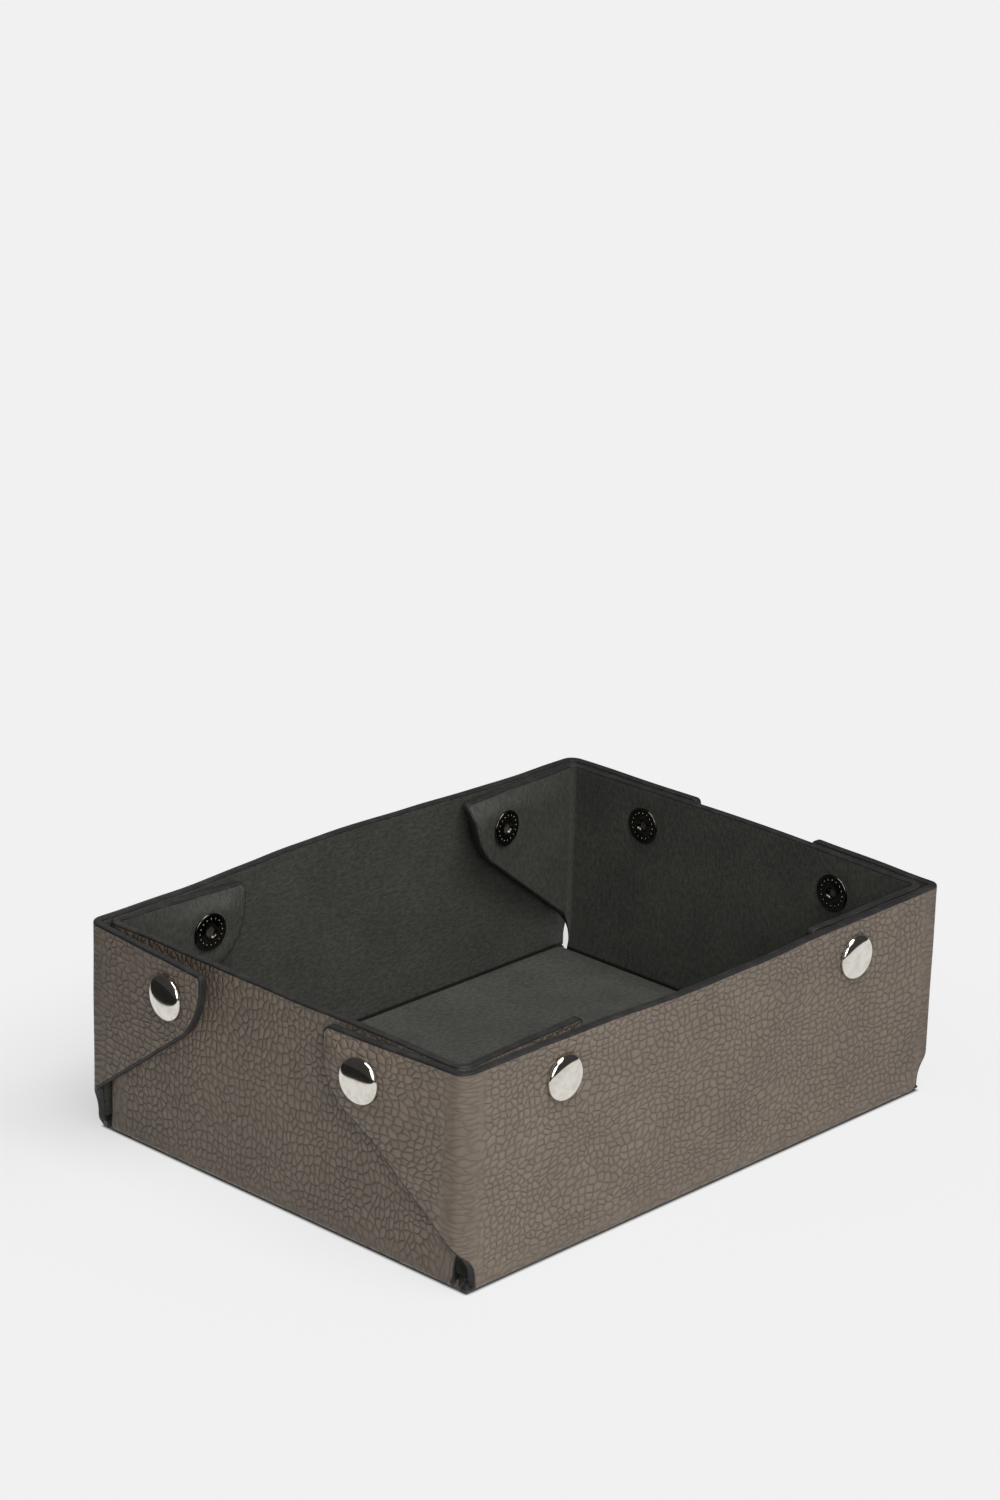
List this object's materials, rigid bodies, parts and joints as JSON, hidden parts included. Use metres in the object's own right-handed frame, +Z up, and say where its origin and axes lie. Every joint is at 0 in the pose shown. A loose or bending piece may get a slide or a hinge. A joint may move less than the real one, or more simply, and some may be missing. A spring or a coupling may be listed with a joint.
{
  "type": "snap-corner leather tray",
  "caption": "Open rectangular tray folded from lined pebbled leather, its corner flaps held by domed press studs.",
  "frame": {"origin": "middle of the underside of the base", "axes": "+X along the long walls, +Y along the short walls towards the back wall, +Z up"},
  "size_m": [0.196, 0.1406, 0.06],
  "materials": {
    "leather": "pebbled, matte",
    "lining": "smooth, matte",
    "board": "plain fibre board",
    "cap": "polished nickel",
    "snap_metal": "plated",
    "spring_wire": "plain wire",
    "eyelet": "black nickel"
  },
  "bodies": {
    "base": {"base_board": "board", "base_leather": "leather", "base_lining": "lining", "left_wall_leather": "leather", "left_wall_lining": "lining", "right_wall_leather": "leather", "right_wall_lining": "lining", "left_wall_studs": "snap_metal", "left_wall_eyelets": "eyelet", "right_wall_studs": "snap_metal", "right_wall_eyelets": "eyelet"},
    "front_wall": {"front_wall_leather": "leather", "front_wall_lining": "lining", "front_wall_caps": "cap", "front_wall_sockets": "snap_metal", "front_wall_springs": "spring_wire"},
    "back_wall": {"back_wall_leather": "leather", "back_wall_lining": "lining", "back_wall_caps": "cap", "back_wall_sockets": "snap_metal", "back_wall_springs": "spring_wire"},
    "front_left_flap": {"front_left_flap_leather": "leather", "front_left_flap_lining": "lining", "front_left_flap_cap": "cap", "front_left_flap_socket": "snap_metal", "front_left_flap_spring": "spring_wire"},
    "front_right_flap": {"front_right_flap_leather": "leather", "front_right_flap_lining": "lining", "front_right_flap_cap": "cap", "front_right_flap_socket": "snap_metal", "front_right_flap_spring": "spring_wire"},
    "back_left_flap": {"back_left_flap_leather": "leather", "back_left_flap_lining": "lining", "back_left_flap_cap": "cap", "back_left_flap_socket": "snap_metal", "back_left_flap_spring": "spring_wire"},
    "back_right_flap": {"back_right_flap_leather": "leather", "back_right_flap_lining": "lining", "back_right_flap_cap": "cap", "back_right_flap_socket": "snap_metal", "back_right_flap_spring": "spring_wire"},
    "left_front_flap": {"left_front_flap_leather": "leather", "left_front_flap_lining": "lining", "left_front_flap_stud": "snap_metal", "left_front_flap_eyelet": "eyelet"},
    "left_back_flap": {"left_back_flap_leather": "leather", "left_back_flap_lining": "lining", "left_back_flap_stud": "snap_metal", "left_back_flap_eyelet": "eyelet"},
    "right_front_flap": {"right_front_flap_leather": "leather", "right_front_flap_lining": "lining", "right_front_flap_stud": "snap_metal", "right_front_flap_eyelet": "eyelet"},
    "right_back_flap": {"right_back_flap_leather": "leather", "right_back_flap_lining": "lining", "right_back_flap_stud": "snap_metal", "right_back_flap_eyelet": "eyelet"}
  },
  "joints": [
    {"name": "front_wall_fold", "type": "hinge", "parent": "base", "child": "front_wall", "pos_m": [0, -0.06724, 0.00076], "axis": [1, 0, 0], "range_deg": [0, 90]},
    {"name": "front_left_flap_open", "type": "hinge", "parent": "front_wall", "child": "front_left_flap", "pos_m": [-0.09202, -0.06694, 0.03], "axis": [0, 0, 1], "range_deg": [0, 85.31]},
    {"name": "front_right_flap_open", "type": "hinge", "parent": "front_wall", "child": "front_right_flap", "pos_m": [0.09202, -0.06694, 0.03], "axis": [0, 0, -1], "range_deg": [0, 85.31]},
    {"name": "back_wall_fold", "type": "hinge", "parent": "base", "child": "back_wall", "pos_m": [0, 0.06724, 0.00076], "axis": [-1, 0, 0], "range_deg": [0, 90]},
    {"name": "back_left_flap_open", "type": "hinge", "parent": "back_wall", "child": "back_left_flap", "pos_m": [-0.09202, 0.06694, 0.03], "axis": [0, 0, -1], "range_deg": [0, 85.31]},
    {"name": "back_right_flap_open", "type": "hinge", "parent": "back_wall", "child": "back_right_flap", "pos_m": [0.09202, 0.06694, 0.03], "axis": [0, 0, 1], "range_deg": [0, 85.31]},
    {"name": "left_front_flap_peel", "type": "hinge", "parent": "base", "child": "left_front_flap", "pos_m": [-0.08708, -0.06184, 0.03], "axis": [0, 0, 1], "range_deg": [0, 60]},
    {"name": "left_back_flap_peel", "type": "hinge", "parent": "base", "child": "left_back_flap", "pos_m": [-0.08708, 0.06184, 0.03], "axis": [0, 0, -1], "range_deg": [0, 60]},
    {"name": "right_front_flap_peel", "type": "hinge", "parent": "base", "child": "right_front_flap", "pos_m": [0.08708, -0.06184, 0.03], "axis": [0, 0, -1], "range_deg": [0, 60]},
    {"name": "right_back_flap_peel", "type": "hinge", "parent": "base", "child": "right_back_flap", "pos_m": [0.08708, 0.06184, 0.03], "axis": [0, 0, 1], "range_deg": [0, 60]}
  ],
  "couplings": [
    {"joint": "front_left_flap_open", "follows": "front_wall_fold", "ratio": 0.94785},
    {"joint": "front_right_flap_open", "follows": "front_wall_fold", "ratio": 0.94785},
    {"joint": "back_left_flap_open", "follows": "back_wall_fold", "ratio": 0.94785},
    {"joint": "back_right_flap_open", "follows": "back_wall_fold", "ratio": 0.94785}
  ]
}
